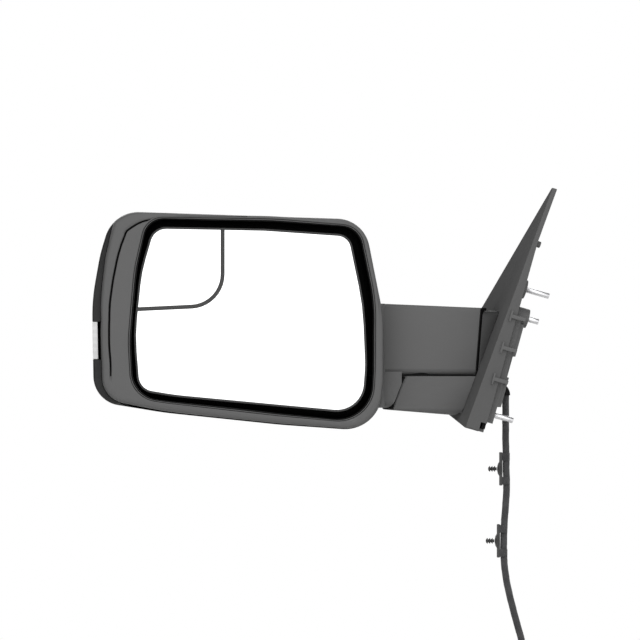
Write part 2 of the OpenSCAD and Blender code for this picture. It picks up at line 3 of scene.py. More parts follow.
import bmesh
import bpy
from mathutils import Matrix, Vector


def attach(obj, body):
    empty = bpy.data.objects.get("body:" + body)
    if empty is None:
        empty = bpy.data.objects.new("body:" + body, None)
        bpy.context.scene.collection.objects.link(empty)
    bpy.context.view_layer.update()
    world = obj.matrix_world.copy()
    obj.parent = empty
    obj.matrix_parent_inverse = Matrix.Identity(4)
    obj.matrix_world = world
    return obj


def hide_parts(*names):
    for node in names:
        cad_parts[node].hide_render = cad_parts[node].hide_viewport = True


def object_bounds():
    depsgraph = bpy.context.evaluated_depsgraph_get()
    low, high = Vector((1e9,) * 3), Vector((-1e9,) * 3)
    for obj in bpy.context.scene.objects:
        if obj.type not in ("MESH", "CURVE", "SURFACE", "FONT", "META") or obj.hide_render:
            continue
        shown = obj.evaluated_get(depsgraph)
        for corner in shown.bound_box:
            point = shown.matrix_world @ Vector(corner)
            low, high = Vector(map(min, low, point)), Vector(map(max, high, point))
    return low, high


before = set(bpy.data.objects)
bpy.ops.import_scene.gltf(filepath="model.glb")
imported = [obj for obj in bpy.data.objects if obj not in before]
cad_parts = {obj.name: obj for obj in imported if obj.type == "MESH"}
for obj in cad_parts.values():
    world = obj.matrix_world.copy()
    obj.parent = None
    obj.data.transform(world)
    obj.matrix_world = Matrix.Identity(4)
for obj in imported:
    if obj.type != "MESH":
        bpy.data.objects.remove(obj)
cad_low, cad_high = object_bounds()
mm = 0.001

# ---------------------------------------------------------------- studio
# A long lens looks square at the glass side of the mirror, so that its lines stay parallel.
# The room is a plain white one, brighter behind the camera than round the sides and from
# below, with two softboxes over it and a pale floor under the hanging harness.
picture_wide = 672 * mm
camera_far = 14.0
camera_data = bpy.data.cameras.new("camera")
camera_data.sensor_width = 36
camera_data.lens = camera_data.sensor_width * camera_far / picture_wide
camera_data.clip_start = 0.5
camera_data.clip_end = 60
camera = bpy.data.objects.new("camera", camera_data)
camera.location = (-181.65 * mm, -camera_far, 42 * mm)
camera.rotation_euler = (math.pi / 2, 0, 0)
bpy.context.scene.collection.objects.link(camera)
bpy.context.scene.camera = camera
bpy.context.scene.view_settings.view_transform = "Standard"

room = bpy.data.worlds.new("white_room")
room.use_nodes = True
bpy.context.scene.world = room
nodes = room.node_tree.nodes
links = room.node_tree.links
coordinate = nodes.new("ShaderNodeTexCoord")
split = nodes.new("ShaderNodeSeparateXYZ")
links.new(coordinate.outputs["Generated"], split.inputs[0])
behind_camera = nodes.new("ShaderNodeMapRange")
behind_camera.inputs["From Min"].default_value = 0.0
behind_camera.inputs["From Max"].default_value = -1.0
behind_camera.inputs["To Min"].default_value = 0.05
behind_camera.inputs["To Max"].default_value = 1.7
links.new(split.outputs["Y"], behind_camera.inputs["Value"])
far_side = nodes.new("ShaderNodeMapRange")
far_side.inputs["From Min"].default_value = 0.45
far_side.inputs["To Max"].default_value = 1.1
links.new(split.outputs["Y"], far_side.inputs["Value"])
both_sides = nodes.new("ShaderNodeMath")
both_sides.operation = "ADD"
links.new(behind_camera.outputs["Result"], both_sides.inputs[0])
links.new(far_side.outputs["Result"], both_sides.inputs[1])
from_below = nodes.new("ShaderNodeMapRange")
from_below.inputs["From Min"].default_value = -0.8
from_below.inputs["From Max"].default_value = 0.1
from_below.inputs["To Min"].default_value = 0.25
links.new(split.outputs["Z"], from_below.inputs["Value"])
room_light = nodes.new("ShaderNodeMath")
room_light.operation = "MULTIPLY"
links.new(both_sides.outputs[0], room_light.inputs[0])
links.new(from_below.outputs["Result"], room_light.inputs[1])
seen = nodes.new("ShaderNodeLightPath")
choose = nodes.new("ShaderNodeMix")
choose.data_type = "FLOAT"
choose.inputs["B"].default_value = 1.0
links.new(seen.outputs["Is Camera Ray"], choose.inputs["Factor"])
links.new(room_light.outputs[0], choose.inputs["A"])
backdrop = nodes["Background"]
backdrop.inputs["Color"].default_value = (1, 1, 1, 1)
links.new(choose.outputs["Result"], backdrop.inputs["Strength"])

floor_down = 60 * mm
floor_half = 1.6
floor_z = cad_low.z - floor_down
floor_corners = [(x * floor_half, y * floor_half, floor_z) for x, y in ((-1, -1), (1, -1), (1, 1), (-1, 1))]
floor_mesh = bpy.data.meshes.new("floor")
floor_mesh.from_pydata(floor_corners, [], [(0, 1, 2, 3)])
floor = bpy.data.objects.new("floor", floor_mesh)
bpy.context.scene.collection.objects.link(floor)
floor_paint = bpy.data.materials.new("pale_floor")
floor_paint.use_nodes = True
floor_shader = floor_paint.node_tree.nodes["Principled BSDF"]
floor_shader.inputs["Base Color"].default_value = (0.82, 0.82, 0.81, 1)
floor_shader.inputs["Roughness"].default_value = 0.7
floor_mesh.materials.append(floor_paint)


def soft_light(name, place, target, size, power):
    data = bpy.data.lights.new(name, "AREA")
    data.shape = "SQUARE"
    data.size = size
    data.energy = power
    lamp = bpy.data.objects.new(name, data)
    lamp.location = place
    lamp.rotation_euler = (Vector(target) - Vector(place)).to_track_quat("-Z", "Y").to_euler()
    bpy.context.scene.collection.objects.link(lamp)
    lamp.visible_camera = False


soft_light("top_softbox", (0.35, -0.7, 1.6), (-0.1, 0, 0), 1.4, 6)
soft_light("far_softbox", (-0.4, 1.9, 0.9), (-0.2, 0, 0), 1.6, 16)

# ---------------------------------------------------------------- harness
# Wires under black cloth tape, wound on at a slant so that each turn laps the one before.
# It leaves an elbow boot and hangs past two clips; the spare length is coiled and tied.
tape_diameter = 7.5 * mm
tape_radius = tape_diameter / 2
route = [(13, -20, -37), (13, -20, -50), (13, -20, -62), (13, -21, -74), (13, -21, -86),
         (13.5, -22, -100), (13.5, -22, -114), (14, -22, -130), (13.5, -22, -144),
         (12.5, -22, -158), (11.5, -22, -172), (11, -22, -188), (11, -22, -204),
         (12, -22, -218), (14, -22, -232), (17, -21.5, -246), (20.5, -20, -260),
         (24.5, -18, -275), (29, -16, -291), (32.5, -15, -308), (35, -14.5, -328),
         (36, -14.4, -350)]
coil_radius = 42
coil_pitch = 8.2
coil_turns = 2
points_a_turn = 24
plug_tail = 12


def curve_through(points, pieces):
    """A smooth line through the points, with so many steps between each two."""
    found = []
    last = len(points) - 1
    for i in range(last):
        a = Vector(points[max(i - 1, 0)])
        b = Vector(points[i])
        c = Vector(points[i + 1])
        d = Vector(points[min(i + 2, last)])
        for k in range(pieces):
            t = k / pieces
            found.append(0.5 * (2 * b + (c - a) * t + (2 * a - 5 * b + 4 * c - d) * t * t
                                + (3 * b - a - 3 * c + d) * t ** 3))
    found.append(Vector(points[last]))
    return found


coil_x = route[-1][0] - coil_radius
coil_y = route[-1][1]
coil_z = route[-1][2]
harness_line = [Vector(p) for p in route]
for i in range(1, coil_turns * points_a_turn + 1):
    turn = i / points_a_turn
    angle = -2 * math.pi * turn
    harness_line.append(Vector((coil_x + coil_radius * math.cos(angle), coil_y - coil_pitch * turn,
                                coil_z + coil_radius * math.sin(angle))))
plug_y = coil_y - coil_pitch * coil_turns
harness_line.append(Vector((route[-1][0], plug_y, coil_z - plug_tail)))
harness_line = [p * mm for p in curve_through(harness_line, 4)]


def link_mesh(name, points, faces):
    """A smooth shaded piece made of these points and faces."""
    mesh = bpy.data.meshes.new(name)
    mesh.from_pydata([tuple(p) for p in points], [], faces)
    mesh.validate()
    fix = bmesh.new()
    fix.from_mesh(mesh)
    bmesh.ops.recalc_face_normals(fix, faces=fix.faces)
    fix.to_mesh(mesh)
    fix.free()
    for face in mesh.polygons:
        face.use_smooth = True
    piece = bpy.data.objects.new(name, mesh)
    bpy.context.scene.collection.objects.link(piece)
    return piece


def swept_tube(name, line, radius_at, sides):
    """A closed tube along the line; radius_at takes the length so far and the angle round it."""
    points = []
    run = 0.0
    across = Vector((0, 1, 0))
    for i, p in enumerate(line):
        ahead = (line[min(i + 1, len(line) - 1)] - line[max(i - 1, 0)]).normalized()
        across = (across - ahead * across.dot(ahead)).normalized()
        other = ahead.cross(across)
        if i:
            run += (p - line[i - 1]).length
        for k in range(sides):
            angle = 2 * math.pi * k / sides
            r = radius_at(run, angle)
            points.append(p + r * (math.cos(angle) * across + math.sin(angle) * other))
    faces = []
    for i in range(len(line) - 1):
        for k in range(sides):
            a = i * sides + k
            b = i * sides + (k + 1) % sides
            faces.append((a, b, b + sides, a + sides))
    faces.append(tuple(range(sides)))
    faces.append(tuple((len(line) - 1) * sides + k for k in reversed(range(sides))))
    return link_mesh(name, points, faces)


def even_line(line, step):
    """The same line with points a step apart."""
    out = [line[0].copy()]
    left = step
    for a, b in zip(line, line[1:]):
        span = (b - a).length
        while span >= left:
            a = a + (b - a).normalized() * left
            out.append(a.copy())
            span -= left
            left = step
        left -= span
    out.append(line[-1].copy())
    return out


tape_width = 17 * mm
tape_lap = 0.22 * mm


def taped_radius(run, angle):
    turn = (run / tape_width - angle / (2 * math.pi)) % 1.0
    return tape_radius - tape_lap * (1 - turn) ** 0.5


def node_group(name, inputs, outputs):
    """A shader node group with these sockets; it gives back the group and its two end nodes."""
    made = bpy.data.node_groups.new(name, "ShaderNodeTree")
    for title, value in inputs:
        socket = made.interface.new_socket(title, in_out="INPUT", socket_type="NodeSocketFloat")
        socket.default_value = value
    for title, kind in outputs:
        made.interface.new_socket(title, in_out="OUTPUT", socket_type=kind)
    return made, made.nodes.new("NodeGroupInput"), made.nodes.new("NodeGroupOutput")


def put(tree, kind, **values):
    """Adds a node with these settings."""
    made = tree.nodes.new(kind)
    for title, value in values.items():
        setattr(made, title, value)
    return made


# Cloth weave: two fine sets of threads that cross, under a little fluff
weave, weave_in, weave_out = node_group(
    "cloth_weave", [("Threads", 2600.0)], [("Height", "NodeSocketFloat"), ("Tone", "NodeSocketFloat")])
where = put(weave, "ShaderNodeTexCoord")
heights = []
for direction in ("X", "Z"):
    threads = put(weave, "ShaderNodeTexWave", bands_direction=direction)
    threads.inputs["Distortion"].default_value = 1.2
    threads.inputs["Detail"].default_value = 1.0
    weave.links.new(where.outputs["Object"], threads.inputs["Vector"])
    weave.links.new(weave_in.outputs["Threads"], threads.inputs["Scale"])
    heights.append(threads.outputs["Fac"])
crossing = put(weave, "ShaderNodeMath", operation="MULTIPLY")
weave.links.new(heights[0], crossing.inputs[0])
weave.links.new(heights[1], crossing.inputs[1])
weave.links.new(crossing.outputs[0], weave_out.inputs["Height"])
fluff = put(weave, "ShaderNodeTexNoise")
fluff.inputs["Scale"].default_value = 90
fluff.inputs["Detail"].default_value = 6
weave.links.new(where.outputs["Object"], fluff.inputs["Vector"])
weave.links.new(fluff.outputs["Fac"], weave_out.inputs["Tone"])


def new_material(name):
    made = bpy.data.materials.new(name)
    made.use_nodes = True
    shader = made.node_tree.nodes["Principled BSDF"]
    return made, made.node_tree, shader


def use_group(tree, group, **values):
    made = put(tree, "ShaderNodeGroup", node_tree=group)
    for title, value in values.items():
        made.inputs[title].default_value = value
    return made


def two_tones(tree, factor, dark, light):
    ramp = put(tree, "ShaderNodeValToRGB")
    ramp.color_ramp.elements[0].position = 0.3
    ramp.color_ramp.elements[1].position = 0.7
    ramp.color_ramp.elements[0].color = (*dark, 1)
    ramp.color_ramp.elements[1].color = (*light, 1)
    tree.links.new(factor, ramp.inputs["Fac"])
    return ramp.outputs["Color"]


def tint(tree, shader, factor, dark, light):
    """The shader's colour runs between two close tones."""
    tree.links.new(two_tones(tree, factor, dark, light), shader.inputs["Base Color"])


def bumped(tree, shader, height, distance, strength=1.0):
    bump = put(tree, "ShaderNodeBump")
    bump.inputs["Distance"].default_value = distance
    bump.inputs["Strength"].default_value = strength
    tree.links.new(height, bump.inputs["Height"])
    tree.links.new(bump.outputs["Normal"], shader.inputs["Normal"])


tape, tree, shader = new_material("cloth_tape")
cloth = use_group(tree, weave, Threads=2600.0)
tint(tree, shader, cloth.outputs["Tone"], (0.030, 0.030, 0.032), (0.062, 0.062, 0.064))
bumped(tree, shader, cloth.outputs["Height"], 0.00008)
shader.inputs["Roughness"].default_value = 0.78
shader.inputs["Sheen Weight"].default_value = 0.25
shader.inputs["Sheen Roughness"].default_value = 0.5


def add_material(piece, material):
    piece.data.materials.clear()
    piece.data.materials.append(material)
    return piece


ring_step = 1.3 * mm
tube_sides = 28
harness = swept_tube("taped_harness", even_line(harness_line, ring_step), taped_radius, tube_sides)
add_material(harness, tape)
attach(harness, "door_base")
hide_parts("harness_cable", "harness_coil")

# ---------------------------------------------------------------- harness clips, tie and plug
# Each clip is one nylon moulding: a strip taped to the harness, a sprung dish that keeps
# water out of the hole, and a stem of barbs. The spare harness is held by a cable tie and
# ends in a generic square plug. All are moulded with a fine grain that scatters the light.
grain, grain_in, grain_out = node_group(
    "mould_grain", [("Size", 1500.0), ("Cloud", 14.0)],
    [("Height", "NodeSocketFloat"),
     ("Cloudiness", "NodeSocketFloat"),
     ("Roughness", "NodeSocketFloat")])
where = put(grain, "ShaderNodeTexCoord")
pits = put(grain, "ShaderNodeTexVoronoi", feature="SMOOTH_F1")
pits.inputs["Smoothness"].default_value = 0.6
grain.links.new(where.outputs["Object"], pits.inputs["Vector"])
grain.links.new(grain_in.outputs["Size"], pits.inputs["Scale"])
ripple = put(grain, "ShaderNodeTexNoise")
ripple.inputs["Detail"].default_value = 3
grain.links.new(where.outputs["Object"], ripple.inputs["Vector"])
grain.links.new(grain_in.outputs["Size"], ripple.inputs["Scale"])
summed = put(grain, "ShaderNodeMath", operation="ADD")
grain.links.new(pits.outputs["Distance"], summed.inputs[0])
grain.links.new(ripple.outputs["Fac"], summed.inputs[1])
grain.links.new(summed.outputs[0], grain_out.inputs["Height"])
cloud = put(grain, "ShaderNodeTexNoise")
cloud.inputs["Detail"].default_value = 5
cloud.inputs["Roughness"].default_value = 0.6
grain.links.new(where.outputs["Object"], cloud.inputs["Vector"])
grain.links.new(grain_in.outputs["Cloud"], cloud.inputs["Scale"])
grain.links.new(cloud.outputs["Fac"], grain_out.inputs["Cloudiness"])
spread = put(grain, "ShaderNodeMapRange")
spread.inputs["To Min"].default_value = 0.50
spread.inputs["To Max"].default_value = 0.64
grain.links.new(cloud.outputs["Fac"], spread.inputs["Value"])
grain.links.new(spread.outputs["Result"], grain_out.inputs["Roughness"])

# Painted highlight: the edges of a moulding, where Pointiness is high, are painted a paler tone
edge_highlight_group, edge_in, edge_out = node_group("painted_edge_highlight", [("Start", 0.53), ("Full", 0.62)],
                                          [("Mask", "NodeSocketFloat")])
shape = put(edge_highlight_group, "ShaderNodeNewGeometry")
highlight_part = put(edge_highlight_group, "ShaderNodeMapRange")
edge_highlight_group.links.new(shape.outputs["Pointiness"], highlight_part.inputs["Value"])
edge_highlight_group.links.new(edge_in.outputs["Start"], highlight_part.inputs["From Min"])
edge_highlight_group.links.new(edge_in.outputs["Full"], highlight_part.inputs["From Max"])
edge_highlight_group.links.new(highlight_part.outputs["Result"], edge_out.inputs["Mask"])


def moulded_plastic(name, dark, light, highlight_tone, size, depth, gloss=0.4):
    """Grained plastic: two close tones, a fine bump, and a paler painted highlight along the edges."""
    made, tree, shader = new_material(name)
    skin = use_group(tree, grain, Size=size, Cloud=14.0)
    edge_highlight_mask = use_group(tree, edge_highlight_group, Start=0.53, Full=0.66)
    tones = two_tones(tree, skin.outputs["Cloudiness"], dark, light)
    # Painted highlight: the edge mask mixes a paler tone into the colour
    colour = put(tree, "ShaderNodeMix", data_type="RGBA")
    tree.links.new(edge_highlight_mask.outputs["Mask"], colour.inputs["Factor"])
    tree.links.new(tones, colour.inputs["A"])
    colour.inputs["B"].default_value = (*highlight_tone, 1)
    tree.links.new(colour.outputs["Result"], shader.inputs["Base Color"])
    tree.links.new(skin.outputs["Roughness"], shader.inputs["Roughness"])
    shader.inputs["Specular IOR Level"].default_value = gloss
    bumped(tree, shader, skin.outputs["Height"], depth)
    return made


def grey(value):
    return (value, value, value)


clip_plastic = moulded_plastic("clip_nylon", grey(0.045), grey(0.055), grey(0.09), 2200.0, 0.00002)


def lathe(name, profile, sides, place, axis):
    """A turned piece from (radius, height) pairs about the axis through place."""
    turn = Vector((0, 0, 1)).rotation_difference(Vector(axis)).to_matrix()
    points = []
    for radius, height in profile:
        for k in range(sides):
            a = 2 * math.pi * k / sides
            local = Vector((radius * math.cos(a), radius * math.sin(a), height))
            points.append((turn @ local + Vector(place)) * mm)
    faces = []
    rows = len(profile)
    for i in range(rows - 1):
        for k in range(sides):
            a = i * sides + k
            b = i * sides + (k + 1) % sides
            faces.append((a, b, b + sides, a + sides))
    faces.append(tuple(range(sides)))
    faces.append(tuple((rows - 1) * sides + k for k in reversed(range(sides))))
    return link_mesh(name, points, faces)


def rounded_box(name, low, high, radius):
    """A block in millimetres with rounded edges."""
    made = bmesh.new()
    bmesh.ops.create_cube(made, size=1)
    size = [b - a for a, b in zip(low, high)]
    middle = [(a + b) / 2 for a, b in zip(low, high)]
    for v in made.verts:
        v.co = Vector([(c * s + m) * mm for c, s, m in zip(v.co, size, middle)])
    bmesh.ops.bevel(made, geom=made.edges[:], offset=radius * mm, segments=3, profile=0.5,
                    affect="EDGES", clamp_overlap=True)
    mesh = bpy.data.meshes.new(name)
    made.to_mesh(mesh)
    made.free()
    for face in mesh.polygons:
        face.use_smooth = True
    piece = bpy.data.objects.new(name, mesh)
    bpy.context.scene.collection.objects.link(piece)
    return piece


def join(name, parts):
    """Puts the parts' meshes in one piece."""
    whole = bmesh.new()
    for part in parts:
        whole.from_mesh(part.data)
        bpy.data.objects.remove(part)
    mesh = bpy.data.meshes.new(name)
    whole.to_mesh(mesh)
    whole.free()
    piece = bpy.data.objects.new(name, mesh)
    bpy.context.scene.collection.objects.link(piece)
    return piece


def even_shading(piece, angle=35):
    """Smooth shading that keeps flats flat and stops at sharp edges."""
    for face in piece.data.polygons:
        face.use_smooth = True
    piece.data.set_sharp_from_angle(angle=math.radians(angle))
    weigh = piece.modifiers.new("weighted", "WEIGHTED_NORMAL")
    weigh.keep_sharp = True
    return piece


def fir_tree_clip(name, node, place):
    x, y, z = place
    strip = rounded_box("strip", (x - 3.4, y - 4, z - 17.5), (x, y + 4, z + 17.5), 0.8)
    barbs = [(1.6, 6.0)]
    for k in range(3):
        base = 7.6 + 2.6 * k
        barbs += [(1.6, base), (3.1, base + 0.2), (3.1, base + 0.5), (1.6, base + 2.0)]
    barbs += [(1.5, 14.6), (0.7, 15.0)]
    stem = lathe("stem", barbs, 28, place, (-1, 0, 0))
    dish = lathe("dish", [(1.6, 3.6), (5.2, 4.0), (8.0, 2.7), (8.1, 3.1), (5.2, 4.9), (1.6, 5.6)], 40,
                 place, (-1, 0, 0))
    clip = join(name, [strip, stem, dish])
    add_material(even_shading(clip), clip_plastic)
    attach(clip, "door_base")
    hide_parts(node)
    return clip


clip_places = {"upper_harness_clip": (9.6, -22, -114), "lower_harness_clip": (7.1, -22, -189.5)}
for node, place in clip_places.items():
    fir_tree_clip(node + "_nylon", node, place)


# Three turns of the same cloth tape hold each end of a clip's strip to the harness
def tape_band(name, place, length):
    x, y, z = place
    middle = Vector((x + 1.1, y, z))
    strip_side = 6.1
    free_side = 4.0
    half_wide = 4.6
    rows = []
    steps = 10
    for i in range(steps + 1):
        h = (i / steps - 0.5) * length
        thick = 0.45 + 0.12 * math.sin(i * 2.4)
        rows.append((h, thick))
    points = []
    sides = 44
    for h, thick in rows:
        for k in range(sides):
            a = 2 * math.pi * k / sides
            reach_x = (strip_side if math.cos(a) < 0 else free_side) + thick
            reach_y = half_wide + thick
            points.append((middle + Vector((reach_x * math.cos(a), reach_y * math.sin(a), h))) * mm)
    faces = []
    for i in range(steps):
        for k in range(sides):
            a = i * sides + k
            b = i * sides + (k + 1) % sides
            faces.append((a, b, b + sides, a + sides))
    faces.append(tuple(range(sides)))
    faces.append(tuple(steps * sides + k for k in reversed(range(sides))))
    band = link_mesh(name, points, faces)
    add_material(band, tape)
    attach(band, "door_base")
    return band


for number, (node, place) in enumerate(clip_places.items()):
    x, y, z = place
    for side in (-1, 1):
        tape_band(f"clip_tape_{number}_{side + 1}", (x + 2.2, y, z + 12.6 * side), 8.0)

# The tie's strap: its section, as (along the harness, swell), goes round both turns of the coil
tie_points = []
tie_half_wide = coil_pitch * coil_turns / 2 + tape_radius / mm + 0.9
tie_half_high = tape_radius / mm + 0.7
tie_middle = Vector((coil_x, coil_y - coil_pitch * coil_turns / 2, coil_z - coil_radius))
tie_sides = 60
tie_section = [(-1.9, 0.0), (-1.6, 0.35), (1.6, 0.35), (1.9, 0.0), (1.9, -0.6), (-1.9, -0.6)]
for offset, swell in tie_section:
    for k in range(tie_sides):
        a = 2 * math.pi * k / tie_sides
        c = math.copysign(abs(math.cos(a)) ** 0.45, math.cos(a))
        s = math.copysign(abs(math.sin(a)) ** 0.8, math.sin(a))
        place = Vector((offset, (tie_half_wide + swell) * c, (tie_half_high + swell) * s))
        tie_points.append((tie_middle + place) * mm)
tie_faces = []
for i in range(len(tie_section)):
    n = (i + 1) % len(tie_section)
    for k in range(tie_sides):
        m = (k + 1) % tie_sides
        tie_faces.append((i * tie_sides + k, i * tie_sides + m, n * tie_sides + m, n * tie_sides + k))
tie_strap = link_mesh("tie_strap", tie_points, tie_faces)
tie_head = rounded_box("tie_head", (coil_x - 3, tie_middle.y - 3, tie_middle.z - tie_half_high - 2.6),
                       (coil_x + 3, tie_middle.y + 3, tie_middle.z - tie_half_high + 0.4), 0.6)
coil_tie = add_material(even_shading(join("cable_tie", [tie_strap, tie_head])), clip_plastic)
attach(coil_tie, "door_base")
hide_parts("coil_tie")

plug_x = route[-1][0]
plug_z = -366
gland_profile = [(3.6, 14), (4.6, 13.4), (4.8, 10.5), (4.2, 10), (4.2, 8.8), (5.2, 8.3), (5.2, 5.5),
                 (4.4, 5), (4.4, 3.8), (5.6, 3.2), (5.8, 0), (5.8, -9), (3, -9)]


def plug_block(name, low, high, radius):
    """A rounded block of the plug, placed from the top of its shell."""
    corners = []
    for x, y, z in (low, high):
        corners.append((plug_x + x, plug_y + y, plug_z + z))
    return rounded_box(name, *corners, radius)


plug_parts = [plug_block("shell", (-9, -7, -40), (9, 7, -8), 1.6),
              plug_block("collar", (-9.6, -7.6, -44), (9.6, 7.6, -38), 1.0),
              plug_block("latch", (-4, -10, -30), (4, -6.2, -12), 0.8)]
for k in range(4):
    rib_y = 3 * k - 5
    plug_parts.append(plug_block(f"rib_{k}", (-9.5, rib_y, -34), (9.5, rib_y + 0.8, -14), 0.3))
plug_parts.append(lathe("gland", gland_profile, 40, (plug_x, plug_y, plug_z), (0, 0, 1)))
plug = add_material(even_shading(join("harness_plug", plug_parts)), clip_plastic)
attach(plug, "door_base")
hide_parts("harness_connector")

# ---------------------------------------------------------------- bezel
# The frame round the glass: one grained moulding with a soft mouth edge, clipped into the cap.
# A shallow groove runs inside its outboard edge, from the top corner down to the bottom one. The groove and
# the fine line by the mouth are painted black as shade.
grey_plastic = moulded_plastic("grey_moulding", grey(0.108), grey(0.116), grey(0.135), 1500.0, 0.00002)
# The black moulding is the liner's own colour; on the bezel it is painted shade in the groove and the fine
# line
black_plastic_and_painted_shade = moulded_plastic(
    "black_moulding_and_painted_shade", grey(0.0035), grey(0.005), grey(0.007), 1500.0, 0.00002, 0.12)

# The head's outlines seen from the glass side, as corners with a radius each
head_corners = [(-398, 155.9, 36), (-135.5, 147.2, 35), (-115, 44, 150), (-115, -21, 80), (-120.8, -75, 39),
                (-223.7, -67.7, 500), (-344.4, -55.1, 400), (-418.4, -43, 31), (-420.2, 63, 200),
                (-411.6, 111.3, 150)]
bezel_corners = [(-387.5, 155, 34), (-135.5, 147.2, 35), (-115, 44, 150), (-115, -21, 80), (-121.3, -74, 38),
                 (-223.7, -66.2, 500), (-344.4, -53.6, 400), (-409, -40.4, 27), (-411.4, 42, 250),
                 (-403.7, 107, 120)]
mouth_corners = [(-363.3, 149.6, 22), (-229, 147.5, 400), (-139.7, 140.2, 24), (-123.4, 63, 200),
                 (-123.9, -10.5, 100), (-127, -67.2, 38), (-228, -57.8, 500), (-339, -45.2, 300),
                 (-379, -39.4, 31), (-382.2, 21, 150), (-376, 94.5, 200)]
middle = Vector((-255, 45))
around = 360


def moved_in(corners, inset, least):
    """The corner list with each side moved in; a tight corner keeps at least this radius."""
    lines = []
    count = len(corners)
    for i in range(count):
        a = Vector(corners[i][:2])
        b = Vector(corners[(i + 1) % count][:2])
        along = (b - a).normalized()
        inward = Vector((along.y, -along.x))
        lines.append((a + inward * inset, along))
    found = []
    for i in range(count):
        (p, u), (q, v) = lines[i - 1], lines[i]
        cross = u.x * v.y - u.y * v.x
        t = ((q - p).x * v.y - (q - p).y * v.x) / cross
        corner = p + u * t
        radius = corners[i][2]
        found.append((corner.x, corner.y, max(radius - inset, least) if radius < 60 else radius))
    return found


def rounded(corners):
    """Points along the outline with its corners rounded."""
    points = []
    count = len(corners)
    for i in range(count):
        b = Vector(corners[i][:2])
        u = (Vector(corners[i - 1][:2]) - b).normalized()
        w = (Vector(corners[(i + 1) % count][:2]) - b).normalized()
        half = math.acos(max(-1, min(1, u.dot(w)))) / 2
        radius = corners[i][2]
        centre = b + (u + w).normalized() * radius / math.sin(half)
        start = b + u * radius / math.tan(half) - centre
        end = b + w * radius / math.tan(half) - centre
        a0 = math.atan2(start.y, start.x)
        turn = (math.atan2(end.y, end.x) - a0 + math.pi) % (2 * math.pi) - math.pi
        steps = max(3, math.ceil(abs(turn) / math.radians(2)))
        for k in range(steps + 1):
            a = a0 + turn * k / steps
            points.append(centre + radius * Vector((math.cos(a), math.sin(a))))
    return points


def reach(points):
    """How far the outline is from the middle, at even angles round it."""
    found = []
    count = len(points)
    for k in range(around):
        a = 2 * math.pi * k / around
        d = Vector((math.cos(a), math.sin(a)))
        best = 0.0
        for i in range(count):
            p = points[i] - middle
            q = points[(i + 1) % count] - middle
            side_p = d.x * p.y - d.y * p.x
            side_q = d.x * q.y - d.y * q.x
            if side_p * side_q <= 0 and side_p != side_q:
                t = side_p / (side_p - side_q)
                hit = p + (q - p) * t
                best = max(best, hit.dot(d))
        found.append(best)
    return found


def loft(name, rings, closed=False, cap_end=False):
    """Skin over rings; each ring is a list of (reach, depth) round the middle."""
    points = []
    for ring in rings:
        for k, (r, y) in enumerate(ring):
            a = 2 * math.pi * k / around
            points.append(Vector((middle.x + r * math.cos(a), y, middle.y + r * math.sin(a))) * mm)
    faces = []
    rows = len(rings)
    for i in range(rows if closed else rows - 1):
        for k in range(around):
            m = (k + 1) % around
            n = (i + 1) % rows
            faces.append((i * around + k, i * around + m, n * around + m, n * around + k))
    if cap_end:
        faces.append(tuple((rows - 1) * around + k for k in range(around)))
    return link_mesh(name, points, faces)


head_reach = reach(rounded(head_corners))
bezel_reach = reach(rounded(bezel_corners))
mouth_reach = reach(rounded(mouth_corners))
# How much of the cap's lap shows beside the bezel at each height of the outboard edge
lap_shows = [(45, 9.0), (71, 8.2), (97, 6.8), (110, 6.0), (123, 5.6),
             (134, 4.4), (140, 2.4), (144, 0.0), (170, 0.0)]


def between(table, value):
    """The table's value at a point, on straight lines between its rows."""
    for (low, a), (high, b) in zip(table, table[1:]):
        if value <= high:
            return a + (b - a) * max(0.0, (value - low) / (high - low))
    return table[-1][1]


for k in range(around):
    a = 2 * math.pi * k / around
    x = middle.x + head_reach[k] * math.cos(a)
    z = middle.y + head_reach[k] * math.sin(a)
    if x < -330 and z > lap_shows[0][0]:
        bezel_reach[k] = max(bezel_reach[k], head_reach[k] - between(lap_shows, z))

lip_y = -66
seam_y = -36

# The groove's line, from the top of the bezel round its outboard end
groove_line = [(-255, 149.2), (-330, 149.8), (-353.9, 148.1), (-371, 143.5), (-384.3, 134.4),
               (-391.7, 114.5), (-398, 85), (-401.4, 60), (-402.2, 40), (-402.2, 14.7),
               (-400, -9.5), (-395.9, -26)]


def angle_of(point):
    return math.atan2(point[1] - middle.y, point[0] - middle.x) % (2 * math.pi)


groove_ends = [angle_of(p) for p in groove_line]
groove_steps = []
for k in range(around):
    a = 2 * math.pi * k / around
    here = None
    if groove_ends[0] <= a <= groove_ends[-1]:
        for i in range(len(groove_line) - 1):
            if groove_ends[i] <= a <= groove_ends[i + 1]:
                p = Vector(groove_line[i]) - middle
                q = Vector(groove_line[i + 1]) - middle
                d = Vector((math.cos(a), math.sin(a)))
                side_p = d.x * p.y - d.y * p.x
                side_q = d.x * q.y - d.y * q.x
                here = (p + (q - p) * side_p / (side_p - side_q)).dot(d)
    groove_steps.append(here)


def ease(value):
    value = max(0.0, min(1.0, value))
    return value * value * (3 - 2 * value)


# How far in from the bezel's edge its border reaches, and how deep the groove is, at each angle
top_fade = math.radians(12)
lower_fade = math.radians(10)
border = []
groove_depth = []
for k in range(around):
    a = 2 * math.pi * k / around
    wide = bezel_reach[k] - mouth_reach[k]
    plain = min(8.8, (wide - 1.6) * 0.9)
    into = ease((a - groove_ends[0]) / top_fade) * ease((groove_ends[-1] - a) / lower_fade)
    if groove_steps[k] is None:
        border.append(plain)
    else:
        border.append(plain + ((bezel_reach[k] - groove_steps[k]) - plain) * into)
    groove_depth.append(into)
for repeat in range(6):
    border = [(border[k - 1] + 2 * border[k] + border[(k + 1) % around]) / 4 for k in range(around)]

